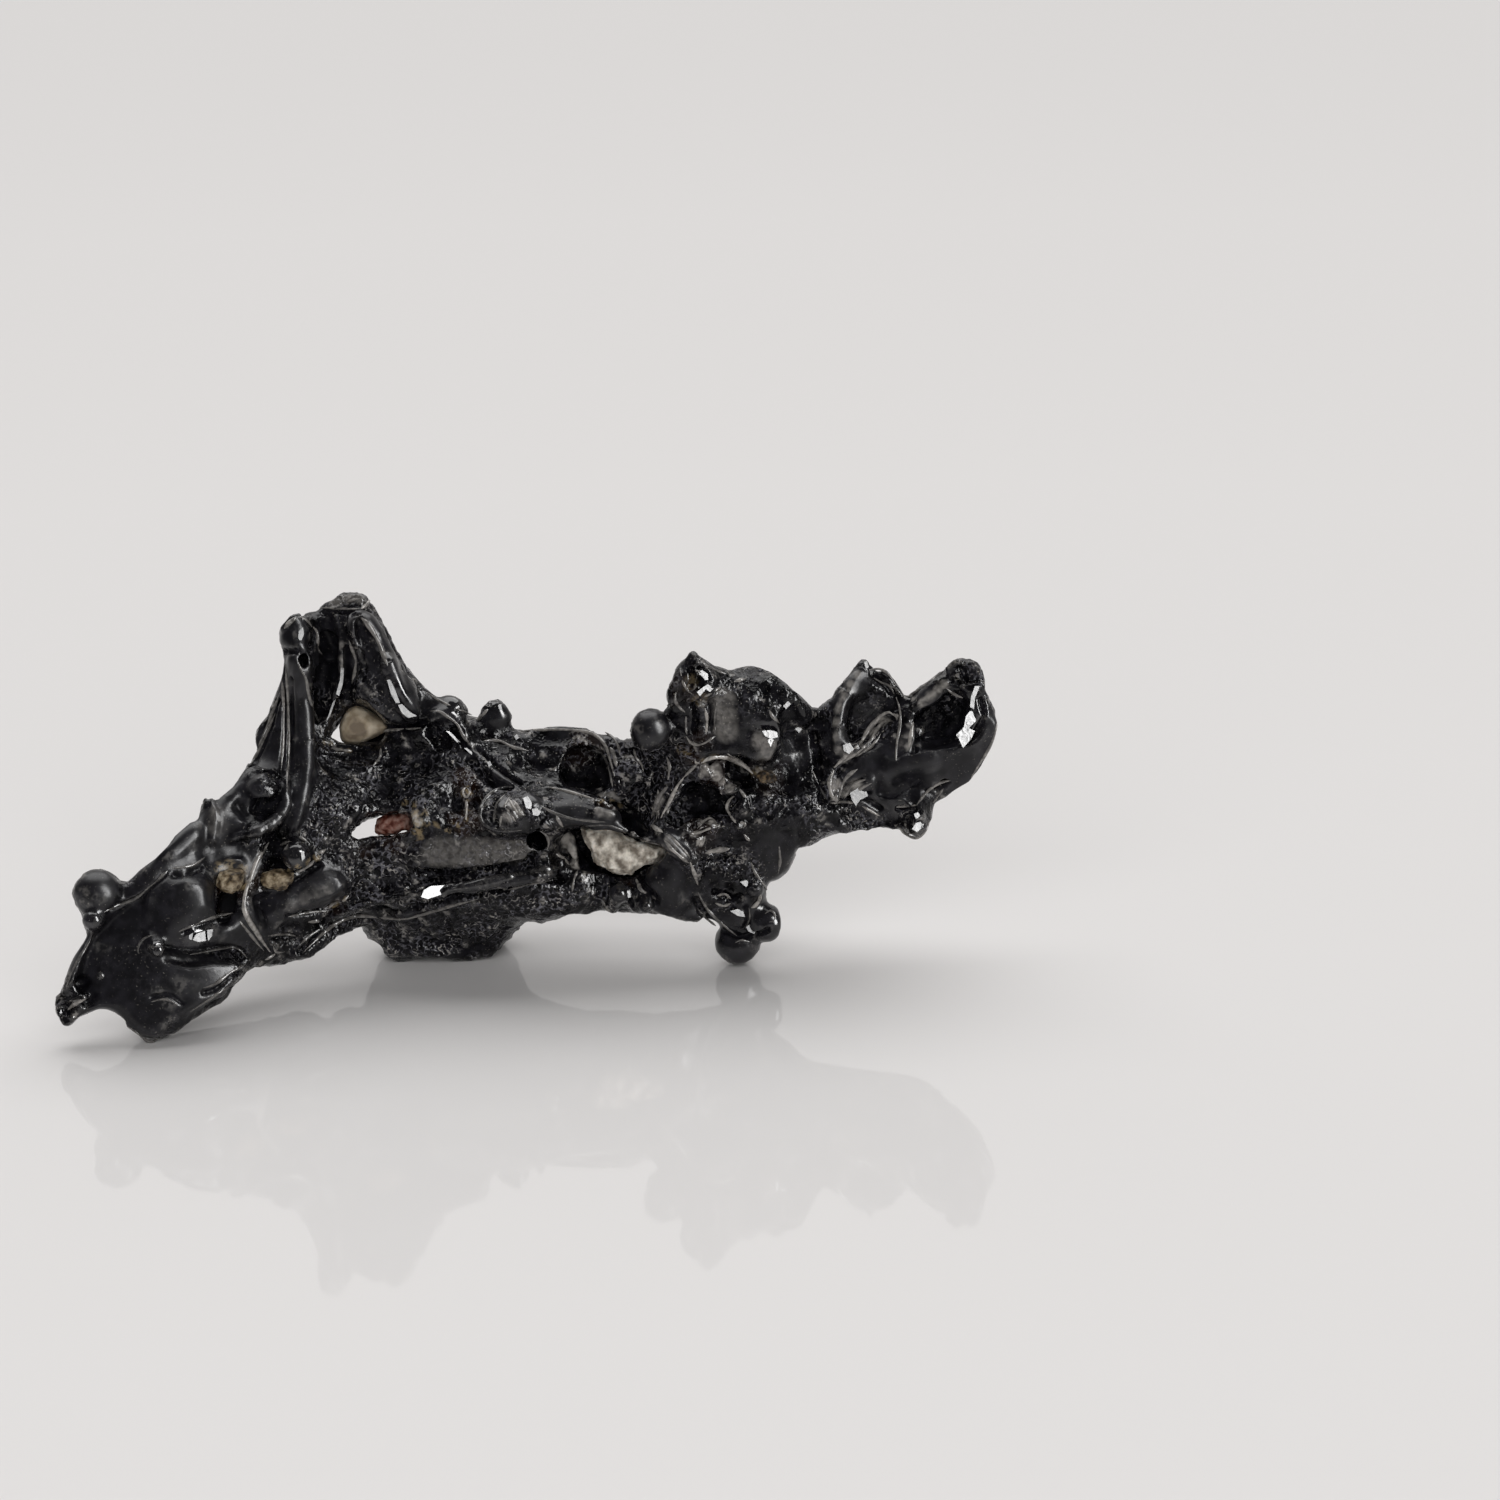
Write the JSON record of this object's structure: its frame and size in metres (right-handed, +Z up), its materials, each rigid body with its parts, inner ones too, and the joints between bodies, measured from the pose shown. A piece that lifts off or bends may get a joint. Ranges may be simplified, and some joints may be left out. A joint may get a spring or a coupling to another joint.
{
  "type": "irghizite",
  "caption": "Black ropy splash form of impact glass with a twin-columned peak, scooped lobes, droplets and wedged mineral grains, resting on its lower edge.",
  "frame": {"origin": "on the surface that the specimen rests on, under the middle of its bounding box", "axes": "+X along the splash from the wing to the curled lobe, -Y towards the viewer, +Z up"},
  "size_m": [0.0194, 0.0068, 0.008],
  "materials": {
    "impact_glass": "opaque black natural glass, glossy on folds and droplets, finely pitted between them",
    "pale_quartz": "pale grey-cream shocked quartz, sugary and matt",
    "tan_mineral": "tan grain, waxy",
    "red_mineral": "red-brown grain with paler flecks",
    "ochre_mineral": "dusty ochre grain",
    "brown_mineral": "dull brown grain"
  },
  "bodies": {
    "root": {"glass": "impact_glass", "quartz_grain": "pale_quartz", "tan_grain": "tan_mineral", "red_grain": "red_mineral", "ochre_grain_left": "ochre_mineral", "ochre_grain_right": "ochre_mineral", "brown_grain": "brown_mineral"}
  },
  "joints": []
}
